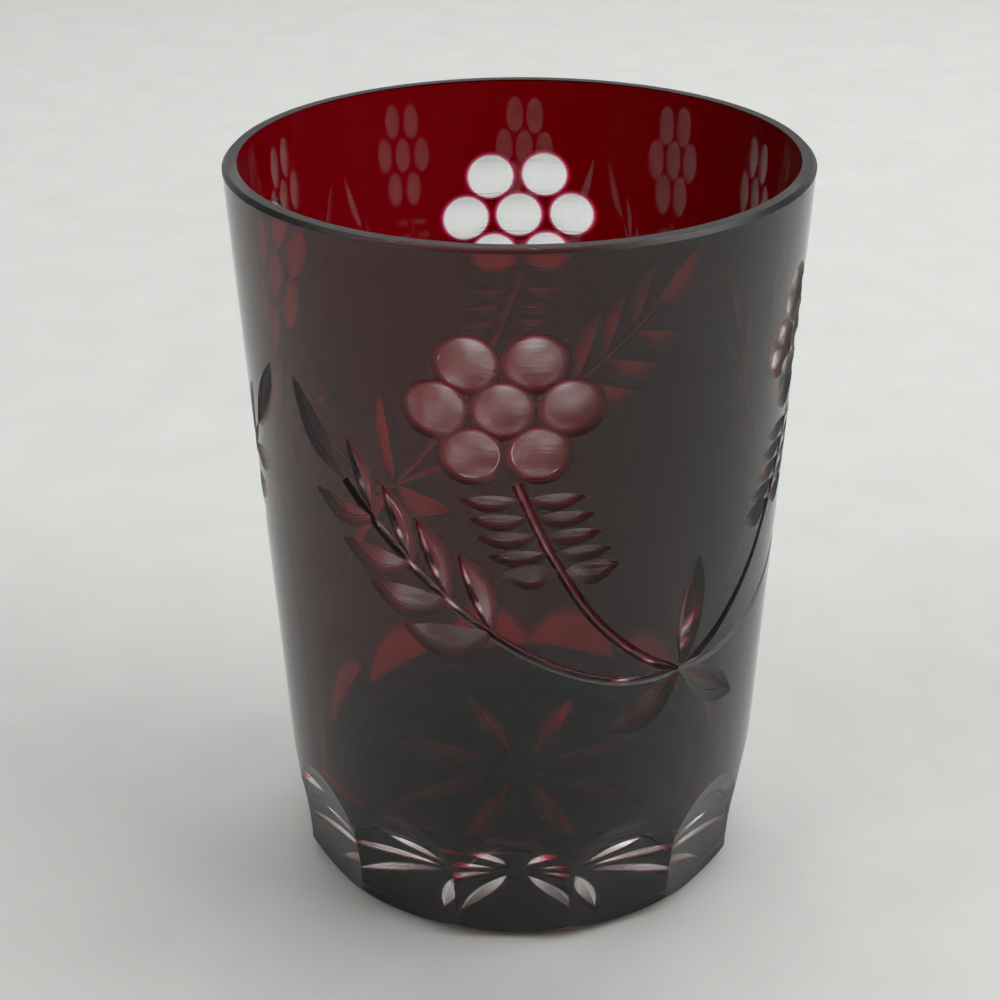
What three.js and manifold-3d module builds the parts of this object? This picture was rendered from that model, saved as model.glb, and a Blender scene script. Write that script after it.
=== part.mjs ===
// Cut glass tumbler: a clear glass body cased in a thin layer of ruby glass, cut through to clear.
// The flutes cut the ruby under the base off from the ruby of the wall, so it is a piece of its own.
// Millimetres and degrees, +Z up, origin at the centre of the foot on the table.
// Azimuth 0 faces the viewer along -Y and grows to the viewer's right.

import * as THREE from 'three';
import { mergeVertices } from 'three/addons/utils/BufferGeometryUtils.js';
import Module from 'manifold-3d';

// Driving dimensions of the glass
const height = 100;
const rimRadius = 37.35;
const wallRadiusAtTable = 31.8;
const footRound = 5;
const rimWall = 1.9;
const lowerWall = 3.4;
const floorThickness = 13;
const boreCorner = 5;
const hollowDepth = 1.35;
const hollowRadius = 24;
const casingThickness = 0.5;
const casingGap = 0.04;
const casingFootAngle = 86;
const baseFootAngle = 60;
const rimBevelWidth = 0.6;
const rimBevelHeight = 0.56;

// Where the two sprays stand, and how far the hand of the cutter strayed: each flower's lean,
// and degrees by which the left-hand flower sits nearer to the junction
const sprays = [{ azimuth: 36.7, lean: 2, stray: 0 }, { azimuth: 216.7, lean: -2, stray: 3.2 }];
const junctionHeight = 40.3;

// Flower of seven round printies
const flowerOffset = 39.8;
const flowerHeight = 80.1;
const printySpacing = 8.05;
const printyRow = 5.85;
const printyWheel = 9.9;
const printyCrown = 6.9;
const printyDepth = 1.19;
const printyReach = 6;

// Fern of leaf pairs under the flower
const fernPairs = 5;
const fernTop = 68.3;
const fernStep = 2.48;
const fernLeafLength = 7.6;
const fernLeafWidth = 2.35;
const fernLastWidth = 3.5;

// Leafy branch: pairs run down the stem from its tip, counted from the end leaf
const branchPairs = 4;
const endLeaf = { length: 14, width: 4, rise: 55, shallow: 23 };
const firstPairFromTip = 5.8;
const pairSpacing = 6.9;
const outerLeaf = { length: 9.3, width: 3.5, rise: 13, longer: 0.75, wider: 0.55, lower: 4.7, wideSide: 1 };
const innerLeaf = { length: 11, width: 2.9, rise: 72, longer: 0.45, wider: 0.28, lower: 0.6, wideSide: -1 };

// Bud of three leaves where the stems meet, as directions from the junction
const budLeaves = [
  { length: 16.6, width: 4.3, rise: 83.5, shallow: 27, steep: 30, side: 1 },
  { length: 12.6, width: 4.8, rise: 212, shallow: 20, steep: 60, side: -1 },
  { length: 14.2, width: 4.8, rise: -36, shallow: 24, steep: 28, side: 1 },
];

// Stems, as degrees away from the junction and heights
const stemDepth = 0.75;
const stemSlope = 49;
const fernStem = [[0, 40.3], [9.9, 44], [21.7, 51.2], [28.7, 58.4], [33.3, 64.3], [37.5, 70.6]];
const branchStem = [
  [0, 40.3], [15.1, 41.3], [28.5, 44.3], [42.1, 49.3], [55.4, 56.1], [67.4, 63.8], [73.2, 68],
];

// Slopes of the two faces of a mitre cut against the wall
const steepFace = 60;
const leafFace = 17;
const fernFace = 29;

// Hollow flutes round the foot
const fluteCount = 13;
const fluteAzimuth = -2.3;
const fluteWheel = 64.6;
const fluteCrown = 245;
const fluteCentreHeight = 4;
const fluteDepth = 1.65;
const fluteWheelWidth = 26;

// Star under the foot
const starRays = 8;
const starInner = 2;
const starOuter = 23.4;
const starRayWidth = 4;
const starFace = 34;

// Fineness of the facets
const wallFacets = 40;
const footSteps = 3;
const bandSteps = 2;
const hollowSteps = 3;
const cornerSteps = 4;
const stemSteps = 8;
const mitreFacet = 3.2;
const fluteFacet = 4.5;
const printyDetail = 2;
const clearance = 1.5;

const rad = THREE.MathUtils.degToRad;
const wallSlope = (rimRadius - wallRadiusAtTable) / height;
const wallLean = Math.atan(wallSlope);

function wallRadius(z) {
  return wallRadiusAtTable + wallSlope * z;
}

// A frame on the outer wall: east along the rim direction, north up the wall, out away from the glass
function wallFrame(azimuth, z) {
  const a = rad(azimuth);
  const radius = wallRadius(z);
  const rise = Math.cos(wallLean);
  const lean = Math.sin(wallLean);
  return {
    point: new THREE.Vector3(radius * Math.sin(a), -radius * Math.cos(a), z),
    east: new THREE.Vector3(Math.cos(a), Math.sin(a), 0),
    north: new THREE.Vector3(lean * Math.sin(a), -lean * Math.cos(a), rise),
    out: new THREE.Vector3(rise * Math.sin(a), -rise * Math.cos(a), -lean),
    bend: 1 / radius,
  };
}

// Height of the hollow underside above the table at a distance from the axis
function hollowHeight(radius) {
  return hollowDepth * (1 - (radius / hollowRadius) ** 2);
}

// A frame on the hollow underside, facing down, with east running away from the axis
function footFrame(azimuth, radius) {
  const a = rad(azimuth);
  const curve = (2 * hollowDepth) / hollowRadius ** 2;
  const slope = Math.atan(curve * radius);
  const level = Math.cos(slope);
  const fall = Math.sin(slope);
  return {
    point: new THREE.Vector3(radius * Math.sin(a), -radius * Math.cos(a), hollowHeight(radius)),
    east: new THREE.Vector3(level * Math.sin(a), -level * Math.cos(a), -fall),
    north: new THREE.Vector3(-Math.cos(a), -Math.sin(a), 0),
    out: new THREE.Vector3(-fall * Math.sin(a), fall * Math.cos(a), -level),
    bend: -curve,
  };
}

// Point of the foot's rounding at an angle from straight down, moved inwards by an inset
function footPoint(angle, inset) {
  const centreX = wallRadiusAtTable + wallSlope * footRound - footRound / Math.cos(wallLean);
  const radius = footRound - inset;
  return new THREE.Vector2(centreX + radius * Math.sin(angle), footRound - radius * Math.cos(angle));
}

// Outline from an angle of the foot's rounding up the wall to the rim, moved inwards by an inset
function wallOutline(startAngle, inset) {
  const rim = new THREE.Vector2(rimRadius - inset / Math.cos(wallLean), height);
  return [footPoint(startAngle, inset), footPoint(Math.PI / 2 - wallLean, inset), rim];
}

function turned(points, facets = wallFacets) {
  const geometry = new THREE.LatheGeometry(points, facets);
  geometry.rotateX(Math.PI / 2);
  return geometry;
}

// Outline of the hollow underside from the axis to its edge, moved up by a lift
function hollowOutline(lift) {
  const points = [];
  for (let i = 0; i <= hollowSteps; i += 1) {
    const radius = (hollowRadius * i) / hollowSteps;
    points.push(new THREE.Vector2(radius, hollowHeight(radius) + lift));
  }
  return points;
}

// Outline under the base and up the foot's rounding to the end of the ruby base, moved inwards
function baseOutline(inset, endAngle) {
  const points = hollowOutline(inset);
  for (let i = 0; i <= footSteps; i += 1) {
    points.push(footPoint(endAngle * (i / footSteps), inset));
  }
  return points;
}

// Clear body: underside and wall set back under the ruby, with a full band between the two, and bore
function bodyBlank() {
  const shoulder = rad(casingFootAngle) - casingGap / footRound;
  const boreTop = rimRadius - rimWall;
  const boreBottom = wallRadius(floorThickness + boreCorner) - lowerWall;
  const bandFoot = rad(baseFootAngle) + casingGap / footRound;
  const coverDepth = casingThickness + casingGap;
  const profile = baseOutline(coverDepth, bandFoot);
  for (let i = 0; i <= bandSteps; i += 1) {
    profile.push(footPoint(bandFoot + (shoulder - bandFoot) * (i / bandSteps), 0));
  }
  profile.push(...wallOutline(shoulder, coverDepth), new THREE.Vector2(boreTop, height));
  for (let i = 0; i <= cornerSteps; i += 1) {
    const angle = (Math.PI / 2) * (i / cornerSteps);
    const x = boreBottom - boreCorner + boreCorner * Math.cos(angle);
    profile.push(new THREE.Vector2(x, floorThickness + boreCorner - boreCorner * Math.sin(angle)));
  }
  profile.push(new THREE.Vector2(0, floorThickness));
  return turned(profile);
}

// Ruby casing: a shell of even thickness from the top of the foot's rounding to the rim
function casingBlank() {
  const outer = wallOutline(rad(casingFootAngle), 0);
  const inner = wallOutline(rad(casingFootAngle), casingThickness).reverse();
  return turned([...outer, ...inner, outer[0].clone()]);
}

// Ruby base: a shell of even thickness under the base and part of the way up the foot's rounding
function baseBlank() {
  const end = rad(baseFootAngle);
  return turned([...baseOutline(0, end), ...baseOutline(casingThickness, end).reverse()]);
}

// Ring that bevels the outer edge of the rim
function rimBevel() {
  const cone = new THREE.Vector2(rimBevelWidth, -rimBevelHeight).normalize().multiplyScalar(clearance);
  const upper = new THREE.Vector2(rimRadius - rimBevelWidth, height).sub(cone);
  const lower = new THREE.Vector2(wallRadius(height - rimBevelHeight), height - rimBevelHeight).add(cone);
  const outside = rimRadius + clearance;
  const corners = [new THREE.Vector2(outside, lower.y), new THREE.Vector2(outside, upper.y)];
  return turned([upper, lower, ...corners, upper.clone()]);
}

// A cutting wheel with its axle along Y, made from half of its edge profile
function wheel(edge, facets) {
  const geometry = new THREE.LatheGeometry(edge, facets);
  geometry.rotateY(Math.PI / facets);
  return geometry;
}

// Wheel with a V edge: two cones base to base, halfAngle from the middle of the V to each face
function mitreWheel(radius, halfAngle, facets) {
  const half = radius * Math.tan(halfAngle);
  const edge = [new THREE.Vector2(0, -half), new THREE.Vector2(radius, 0), new THREE.Vector2(0, half)];
  return wheel(edge, facets);
}

// Wheel with a rounded edge
function roundWheel(radius, crown, width, facet) {
  const halfSpread = Math.asin(Math.min(1, width / 2 / crown));
  const steps = 2 * Math.ceil((crown * halfSpread) / facet);
  const edge = [new THREE.Vector2(0, -width / 2)];
  for (let i = 0; i <= steps; i += 1) {
    const angle = halfSpread * ((2 * i) / steps - 1);
    edge.push(new THREE.Vector2(radius - crown + crown * Math.cos(angle), crown * Math.sin(angle)));
  }
  edge.push(new THREE.Vector2(0, width / 2));
  return wheel(edge, Math.ceil((2 * Math.PI * radius) / facet));
}

// Rounded tool for a printy, with its own curve round the wall and up the wall
function printyTool() {
  const tool = new THREE.IcosahedronGeometry(1, printyDetail);
  tool.scale(Math.sqrt(printyWheel * printyReach), Math.sqrt(printyCrown * printyReach), printyReach);
  return tool;
}

// Puts a wheel against a frame: its disc holds the cut's direction and the lifted normal
function setWheel(geometry, frame, along, lift, wheelRadius, depth) {
  const axle = new THREE.Vector3().crossVectors(lift, along).normalize();
  const basis = new THREE.Matrix4().makeBasis(along, axle, new THREE.Vector3().crossVectors(along, axle));
  const centre = frame.point.clone().addScaledVector(lift, wheelRadius - depth);
  geometry.applyMatrix4(basis.setPosition(centre));
  return geometry;
}

// Leaf cut by a V wheel held over to one side: from a point, along a direction, to a tip.
// rise is the direction in degrees from east to north; side 1 puts the wide face on its right.
function mitreCut(frame, rise, length, width, shallow, steep, side) {
  const tilt = rad(steep - shallow) / 2;
  const halfAngle = rad(180 - steep - shallow) / 2;
  const spread = Math.cos(tilt) * (1 / Math.tan(rad(steep)) + 1 / Math.tan(rad(shallow)));
  const depth = width / spread;
  const bend = frame.bend * Math.cos(rad(rise)) ** 2;
  const wheelRadius = 1 / ((8 * depth * Math.cos(tilt)) / length ** 2 - bend);
  const facets = Math.ceil((2 * Math.PI * wheelRadius) / mitreFacet);
  const along = frame.east.clone().multiplyScalar(Math.cos(rad(rise)));
  along.addScaledVector(frame.north, Math.sin(rad(rise)));
  const right = new THREE.Vector3().crossVectors(along, frame.out).multiplyScalar(side);
  const lift = frame.out.clone().multiplyScalar(Math.cos(tilt)).addScaledVector(right, Math.sin(tilt));
  return setWheel(mitreWheel(wheelRadius, halfAngle, facets), frame, along, lift, wheelRadius, depth);
}

// Point of the wall that lies a distance along a direction from another
function stepOnWall(azimuth, z, rise, distance) {
  const up = distance * Math.sin(rad(rise));
  const round = (distance * Math.cos(rad(rise))) / wallRadius(z + up / 2);
  return [azimuth + THREE.MathUtils.radToDeg(round), z + up * Math.cos(wallLean)];
}

function leafFrom(azimuth, z, rise, length, width, shallow, steep, side) {
  const [midAzimuth, midZ] = stepOnWall(azimuth, z, rise, length / 2);
  return mitreCut(wallFrame(midAzimuth, midZ), rise, length, width, shallow, steep, side);
}

// Narrow V groove along a stem, lofted through frames on the wall
function stemGroove(line) {
  const lift = clearance / 2;
  const half = (stemDepth + lift) / Math.tan(rad(stemSlope));
  const places = line.getSpacedPoints(stemSteps).map((p) => wallFrame(p.x, p.y));
  const corners = [];
  places.forEach((frame, i) => {
    const before = places[Math.max(i - 1, 0)].point;
    const after = places[Math.min(i + 1, stemSteps)].point;
    const across = after.clone().sub(before).cross(frame.out).normalize();
    const top = frame.point.clone().addScaledVector(frame.out, lift);
    corners.push(top.clone().addScaledVector(across, half));
    corners.push(frame.point.clone().addScaledVector(frame.out, -stemDepth));
    corners.push(top.clone().addScaledVector(across, -half));
  });
  const triangles = [0, 2, 1];
  for (let i = 0; i < stemSteps; i += 1) {
    for (let j = 0; j < 3; j += 1) {
      const a = 3 * i + j;
      const b = 3 * i + ((j + 1) % 3);
      triangles.push(a, b, b + 3, a, b + 3, a + 3);
    }
  }
  const last = 3 * stemSteps;
  triangles.push(last, last + 1, last + 2);
  const geometry = new THREE.BufferGeometry().setFromPoints(corners);
  geometry.setIndex(triangles);
  return geometry;
}

// Stem as a smooth line of azimuths and heights, hand -1 going left of the junction and 1 right
function stemLine(points, azimuth, hand) {
  const line = points.map(([offset, z]) => new THREE.Vector3(azimuth + hand * offset, z, 0));
  return new THREE.CatmullRomCurve3(line, false, 'centripetal');
}

// Place on a stem line at a distance in millimetres back from its tip
function backFromTip(line, distance) {
  const samples = line.getPoints(80).reverse();
  let gone = 0;
  for (let i = 1; i < samples.length; i += 1) {
    const a = wallFrame(samples[i - 1].x, samples[i - 1].y).point;
    const b = wallFrame(samples[i].x, samples[i].y).point;
    gone += a.distanceTo(b);
    if (gone >= distance) {
      return samples[i];
    }
  }
  return samples[samples.length - 1];
}

// Seven printies: one in the middle and six round it
function flower(azimuth, lean) {
  const places = [[0, 0]];
  for (const across of [-1, 1]) {
    places.push([across * printySpacing, 0]);
    for (const row of [-1, 1]) {
      places.push([(across * printySpacing) / 2, row * printyRow]);
    }
  }
  return places.map(([x, y]) => {
    const rise = lean + THREE.MathUtils.radToDeg(Math.atan2(y, x));
    const [a, z] = stepOnWall(azimuth, flowerHeight, rise, Math.hypot(x, y));
    const frame = wallFrame(a, z);
    return setWheel(printyTool(), frame, frame.east, frame.out, printyReach, printyDepth);
  });
}

// Leaf pairs on both sides of the fern stem, the last pair wider
function fern(line, lean) {
  const cuts = [];
  const samples = line.getPoints(120);
  for (let i = 0; i < fernPairs; i += 1) {
    const z = fernTop - i * fernStep;
    const root = samples.find((p) => p.y >= z);
    const width = i === fernPairs - 1 ? fernLastWidth : fernLeafWidth;
    for (const way of [0, 180]) {
      const side = way === 0 ? 1 : -1;
      cuts.push(leafFrom(root.x, z, way + lean, fernLeafLength, width, fernFace, steepFace, side));
    }
  }
  return cuts;
}

// Mirrors a direction for the right-hand half of a spray
function turn(rise, hand) {
  return hand < 0 ? 180 - rise : rise;
}

// End leaf and leaf pairs along the branch stem
function branch(line, hand) {
  const tip = line.getPoint(1);
  const cuts = [];
  const endRise = turn(endLeaf.rise, hand);
  const { length, width, shallow } = endLeaf;
  cuts.push(leafFrom(tip.x, tip.y, endRise, length, width, shallow, steepFace, hand));
  for (let i = 0; i < branchPairs; i += 1) {
    const root = backFromTip(line, firstPairFromTip + i * pairSpacing);
    for (const leaf of [outerLeaf, innerLeaf]) {
      const rise = turn(leaf.rise - leaf.lower * i, hand);
      const long = leaf.length + leaf.longer * i;
      const wide = leaf.width + leaf.wider * i;
      cuts.push(leafFrom(root.x, root.y, rise, long, wide, leafFace, steepFace, leaf.wideSide * hand));
    }
  }
  return cuts;
}

// One spray: the bud where the stems meet, and a flower, fern and branch on each hand
function spray({ azimuth, lean, stray }) {
  const cuts = [];
  for (const { length, width, rise, shallow, steep, side } of budLeaves) {
    cuts.push(leafFrom(azimuth, junctionHeight, rise, length, width, shallow, steep, side));
  }
  for (const hand of [-1, 1]) {
    const toFern = stemLine(fernStem, azimuth, hand);
    const toBranch = stemLine(branchStem, azimuth, hand);
    cuts.push(stemGroove(toFern), stemGroove(toBranch));
    const offset = hand < 0 ? flowerOffset - stray : flowerOffset;
    cuts.push(...flower(azimuth + hand * offset, lean));
    cuts.push(...fern(toFern, lean));
    cuts.push(...branch(toBranch, hand));
  }
  return cuts;
}

function flutes() {
  const cuts = [];
  for (let i = 0; i < fluteCount; i += 1) {
    const frame = wallFrame(fluteAzimuth + (360 / fluteCount) * i, fluteCentreHeight);
    const cutter = roundWheel(fluteWheel, fluteCrown, fluteWheelWidth, fluteFacet);
    cuts.push(setWheel(cutter, frame, frame.north, frame.out, fluteWheel, fluteDepth));
  }
  return cuts;
}

function star() {
  const cuts = [];
  const length = starOuter - starInner;
  for (let i = 0; i < starRays; i += 1) {
    const frame = footFrame((360 / starRays) * (i + 0.5), starInner + length / 2);
    cuts.push(mitreCut(frame, 0, length, starRayWidth, starFace, starFace, 1));
  }
  return cuts;
}

const wasm = await Module();
wasm.setup();

function solidOf(geometry) {
  const bare = geometry.clone();
  bare.deleteAttribute('normal');
  bare.deleteAttribute('uv');
  const merged = mergeVertices(bare, 1e-4);
  return new wasm.Manifold(new wasm.Mesh({
    numProp: 3,
    vertProperties: new Float32Array(merged.attributes.position.array),
    triVerts: new Uint32Array(merged.index.array),
  }));
}

function pieceOf(solid, name, material) {
  const mesh = solid.getMesh();
  const geometry = new THREE.BufferGeometry();
  geometry.setAttribute('position', new THREE.BufferAttribute(new Float32Array(mesh.vertProperties), 3));
  geometry.setIndex(new THREE.BufferAttribute(new Uint32Array(mesh.triVerts), 1));
  geometry.computeVertexNormals();
  const piece = new THREE.Mesh(geometry, material);
  piece.name = name;
  return piece;
}

const clearGlass = new THREE.MeshStandardMaterial({ color: 0xdde3e0, roughness: 0.04, metalness: 0 });
const rubyGlass = new THREE.MeshStandardMaterial({ color: 0x4a0209, roughness: 0.05, metalness: 0 });

const wallCuts = [rimBevel(), ...sprays.flatMap(spray)].map(solidOf);
const fluteCuts = flutes().map(solidOf);
const starCuts = star().map(solidOf);
const body = wasm.Manifold.difference([solidOf(bodyBlank()), ...wallCuts, ...fluteCuts, ...starCuts]);
const casing = wasm.Manifold.difference([solidOf(casingBlank()), ...wallCuts, ...fluteCuts]);
const base = wasm.Manifold.difference([solidOf(baseBlank()), ...fluteCuts, ...starCuts]);

const tumbler = new THREE.Group();
tumbler.add(pieceOf(body, 'clear_glass_body', clearGlass));
tumbler.add(pieceOf(casing, 'ruby_glass_casing', rubyGlass));
tumbler.add(pieceOf(base, 'ruby_glass_base', rubyGlass.clone()));

export default tumbler;
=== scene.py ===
"""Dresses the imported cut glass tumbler: a clear glass body in ruby glass, cut by the same wheels.

The whole glass is turned, every cut is made in it, and the clear body, the ruby casing and the ruby base
are then taken out of the cut blank. Metres, +Z up, the viewer at -Y.
"""

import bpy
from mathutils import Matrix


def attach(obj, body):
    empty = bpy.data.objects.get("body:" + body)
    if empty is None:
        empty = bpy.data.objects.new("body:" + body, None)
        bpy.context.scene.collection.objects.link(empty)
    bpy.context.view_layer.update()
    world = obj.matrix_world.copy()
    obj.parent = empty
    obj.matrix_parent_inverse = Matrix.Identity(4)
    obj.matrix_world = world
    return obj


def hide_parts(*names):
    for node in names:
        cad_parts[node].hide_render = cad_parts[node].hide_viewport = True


bl_info = {
    "name": "Cut Glass Tumbler",
    "version": (1, 0, 0),
    "blender": (4, 5, 0),
    "location": "3D View > Sidebar > Tumbler",
    "description": "Turns, cuts and polishes a ruby cased tumbler round its packed frame",
    "category": "Object",
}

from math import atan, atan2, cos, degrees, hypot, pi, radians, sin, sqrt, tan

import bpy
from bpy.props import FloatProperty, FloatVectorProperty, IntProperty, PointerProperty
from mathutils import Matrix, Vector

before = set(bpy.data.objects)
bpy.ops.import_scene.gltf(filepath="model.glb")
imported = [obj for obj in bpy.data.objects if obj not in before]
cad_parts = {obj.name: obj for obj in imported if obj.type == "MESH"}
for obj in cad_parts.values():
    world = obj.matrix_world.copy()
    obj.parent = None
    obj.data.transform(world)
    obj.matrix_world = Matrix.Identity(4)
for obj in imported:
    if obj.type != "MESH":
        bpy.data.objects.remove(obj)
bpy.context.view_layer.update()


class TumblerForm(bpy.types.PropertyGroup):
    """Sizes of the blown and pressed form before any cutting"""

    height: FloatProperty(name="Height", description="Table to rim", default=0.1, unit="LENGTH")
    rim_radius: FloatProperty(
        name="Rim radius", description="Outside of the mouth", default=0.03735, unit="LENGTH"
    )
    table_radius: FloatProperty(
        name="Wall radius at the table",
        description="Where the straight wall would meet the table",
        default=0.0318,
        unit="LENGTH",
    )
    foot_round: FloatProperty(
        name="Foot rounding", description="Radius of the foot's edge", default=0.005, unit="LENGTH"
    )
    rim_wall: FloatProperty(
        name="Wall at the rim", description="Both layers together", default=0.0019, unit="LENGTH"
    )
    lower_wall: FloatProperty(
        name="Wall at the floor", description="Both layers together", default=0.0034, unit="LENGTH"
    )
    floor: FloatProperty(
        name="Floor thickness", description="Table to the bottom of the bore", default=0.013, unit="LENGTH"
    )
    bore_corner: FloatProperty(
        name="Bore corner", description="Rounding between bore and floor", default=0.005, unit="LENGTH"
    )
    hollow_depth: FloatProperty(
        name="Hollow depth", description="Of the underside, over the table", default=0.00135, unit="LENGTH"
    )
    hollow_radius: FloatProperty(
        name="Hollow radius", description="Inside of the ring it stands on", default=0.024, unit="LENGTH"
    )
    bevel_width: FloatProperty(
        name="Rim bevel width", description="Inwards from the rim", default=0.0006, unit="LENGTH"
    )
    bevel_height: FloatProperty(
        name="Rim bevel height", description="Down from the rim", default=0.00056, unit="LENGTH"
    )
    casing: FloatProperty(name="Casing thickness", description="Ruby layer", default=0.0005, unit="LENGTH")
    casing_foot: FloatProperty(
        name="Casing foot angle",
        description="Where the ruby starts on the foot's rounding",
        default=radians(86),
        subtype="ANGLE",
    )
    base_foot: FloatProperty(
        name="Base foot angle",
        description="Where the ruby base ends on the foot's rounding",
        default=radians(60),
        subtype="ANGLE",
    )
    casing_drift: FloatProperty(
        name="Casing drift",
        description="How far the clear gather sits to the left in the ruby one",
        default=0.00013,
        unit="LENGTH",
    )
    seam: FloatProperty(
        name="Seam", description="Play between the two fused layers", default=0.00002, unit="LENGTH"
    )
    facets: IntProperty(name="Facets", description="Facets round the wall", default=720)


class CutPattern(bpy.types.PropertyGroup):
    """Sizes of the wheels' cuts"""

    junction_height: FloatProperty(
        name="Junction height", description="Where the stems meet", default=0.0403, unit="LENGTH"
    )
    flower_height: FloatProperty(
        name="Flower height", description="Centre of a flower", default=0.0801, unit="LENGTH"
    )
    flower_offset: FloatProperty(
        name="Flower offset",
        description="Junction to flower, round the wall",
        default=radians(39.8),
        subtype="ANGLE",
    )
    printy_spacing: FloatProperty(
        name="Printy spacing", description="Round the wall", default=0.00805, unit="LENGTH"
    )
    printy_row: FloatProperty(name="Printy row", description="Up the wall", default=0.00585, unit="LENGTH")
    printy_depth: FloatProperty(
        name="Printy depth", description="Depth of a round cut", default=0.00119, unit="LENGTH"
    )
    printy_wheel: FloatProperty(
        name="Printy wheel", description="Curve of a round cut round the wall", default=0.0099, unit="LENGTH"
    )
    printy_crown: FloatProperty(
        name="Printy crown", description="Curve of a round cut up the wall", default=0.0069, unit="LENGTH"
    )
    stem_depth: FloatProperty(
        name="Stem depth", description="Depth of a stem groove", default=0.00075, unit="LENGTH"
    )
    stem_width: FloatProperty(
        name="Stem width", description="Across a stem groove", default=0.0013, unit="LENGTH"
    )
    flute_azimuth: FloatProperty(
        name="Flute azimuth", description="Centre of the front flute", default=radians(-2.3), subtype="ANGLE"
    )
    flute_wheel: FloatProperty(
        name="Flute wheel", description="Curve of a flute up the wall", default=0.0646, unit="LENGTH"
    )
    flute_crown: FloatProperty(
        name="Flute crown", description="Curve of a flute round the wall", default=0.245, unit="LENGTH"
    )
    flute_height: FloatProperty(
        name="Flute centre", description="Height of the deepest point", default=0.004, unit="LENGTH"
    )
    flute_depth: FloatProperty(
        name="Flute depth", description="Depth of a flute", default=0.00165, unit="LENGTH"
    )
    star_inner: FloatProperty(
        name="Star inner end", description="Where the rays start", default=0.002, unit="LENGTH"
    )
    star_outer: FloatProperty(
        name="Star outer end", description="Where the rays end", default=0.0234, unit="LENGTH"
    )
    star_width: FloatProperty(
        name="Star ray width", description="Widest part of a ray", default=0.004, unit="LENGTH"
    )


class GlassLook(bpy.types.PropertyGroup):
    """Colours and finish of the two glasses"""

    bend: FloatProperty(name="Refractive index", description="Lead crystal", default=1.52)
    ruby: FloatVectorProperty(
        name="Ruby",
        description="Light that the ruby lets pass",
        subtype="COLOR",
        size=3,
        default=(0.797, 0.0, 0.3),
    )
    ruby_strength: FloatProperty(name="Ruby strength", description="Absorption for each metre", default=18000)
    crystal: FloatVectorProperty(
        name="Crystal",
        description="Tint of the clear glass",
        subtype="COLOR",
        size=3,
        default=(0.985, 0.995, 0.99),
    )
    ground: FloatVectorProperty(
        name="Ground surface",
        description="Colour of the fine grey of a cut",
        subtype="COLOR",
        size=3,
        default=(0.97, 0.97, 0.975),
    )
    ground_roughness: FloatProperty(
        name="Ground roughness", description="Fineness of the wheel", default=0.36, subtype="FACTOR"
    )
    haze: FloatProperty(
        name="Haze", description="Film and hair scratches on polished glass", default=0.12, subtype="FACTOR"
    )
    haze_roughness: FloatProperty(
        name="Haze roughness", description="Spread of its sheen", default=0.4, subtype="FACTOR"
    )
    streak_height: FloatProperty(
        name="Wheel marks", description="Height of the wheel's fine lines", default=0.00008, unit="LENGTH"
    )


class StudioLook(bpy.types.PropertyGroup):
    """Floor, surroundings, lamps and camera"""

    floor: FloatVectorProperty(
        name="Floor", description="Pale sheet", subtype="COLOR", size=3, default=(0.72, 0.735, 0.71)
    )
    surround: FloatVectorProperty(
        name="Surround", description="Walls of the room", subtype="COLOR", size=3, default=(0.72, 0.73, 0.71)
    )
    right_power: FloatProperty(
        name="Right window", description="Strong soft light", default=6.7, unit="POWER"
    )
    left_power: FloatProperty(name="Left window", description="Weaker soft light", default=3.2, unit="POWER")
    sky_power: FloatProperty(
        name="Skylight", description="Soft light from over the back", default=4.9, unit="POWER"
    )
    lens: FloatProperty(
        name="Lens", description="Focal length for a 36 mm sensor", default=73.53, subtype="DISTANCE_CAMERA"
    )
    distance: FloatProperty(
        name="Camera distance", description="To the middle of the glass", default=0.28, unit="LENGTH"
    )
    elevation: FloatProperty(
        name="Camera elevation", description="Above the table", default=radians(26.39), subtype="ANGLE"
    )
    roll: FloatProperty(
        name="Camera roll", description="Round its own axis", default=-0.0025, subtype="ANGLE"
    )


# Where the two sprays stand, the lean of their flowers, and how much nearer the left-hand flower sits
SPRAYS = ((36.7, 2.0, 0.0), (216.7, -2.0, 3.2))
# Bud leaves where the stems meet: length and width in millimetres, direction, the two slopes, wide side
BUD_LEAVES = ((16.6, 4.3, 83.5, 27, 30, 1), (12.6, 4.8, 212, 20, 60, -1), (14.2, 4.8, -36, 24, 28, 1))
# Stems, as degrees from the junction and heights in millimetres
FERN_STEM = ((0, 40.3), (9.9, 44), (21.7, 51.2), (28.7, 58.4), (33.3, 64.3), (37.5, 70.6))
BRANCH_STEM = ((0, 40.3), (15.1, 41.3), (28.5, 44.3), (42.1, 49.3), (55.4, 56.1), (67.4, 63.8), (73.2, 68))
# Fern pairs: height, leaf length and leaf width in millimetres
FERN_PAIRS = (
    (68.3, 7.6, 2.35),
    (65.82, 7.6, 2.35),
    (63.34, 7.6, 2.35),
    (60.86, 7.6, 2.35),
    (58.38, 7.6, 3.5),
)
# Branch pairs: distance back from the tip, then length, width and direction of the outer and inner leaf
BRANCH_PAIRS = (
    (5.8, (9.3, 3.5, 13), (11, 2.9, 72)),
    (12.7, (10.05, 4.05, 8.3), (11.45, 3.18, 71.4)),
    (19.6, (10.8, 4.6, 3.6), (11.9, 3.46, 70.8)),
    (26.5, (11.55, 5.15, -1.1), (12.35, 3.74, 70.2)),
)
# The leaf at the end of a branch: length and width in millimetres, direction
END_LEAF = (14, 4, 55)
# Slopes of the faces of the mitre cuts against the wall, in degrees
STEEP_FACE, LEAF_FACE, END_LEAF_FACE, FERN_FACE, STAR_FACE = 60, 17, 23, 29, 34
FLUTES, STAR_RAYS = 13, 8
MM = 0.001
# How far the tools that part the layers reach past the glass
REACH = 0.004
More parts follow.
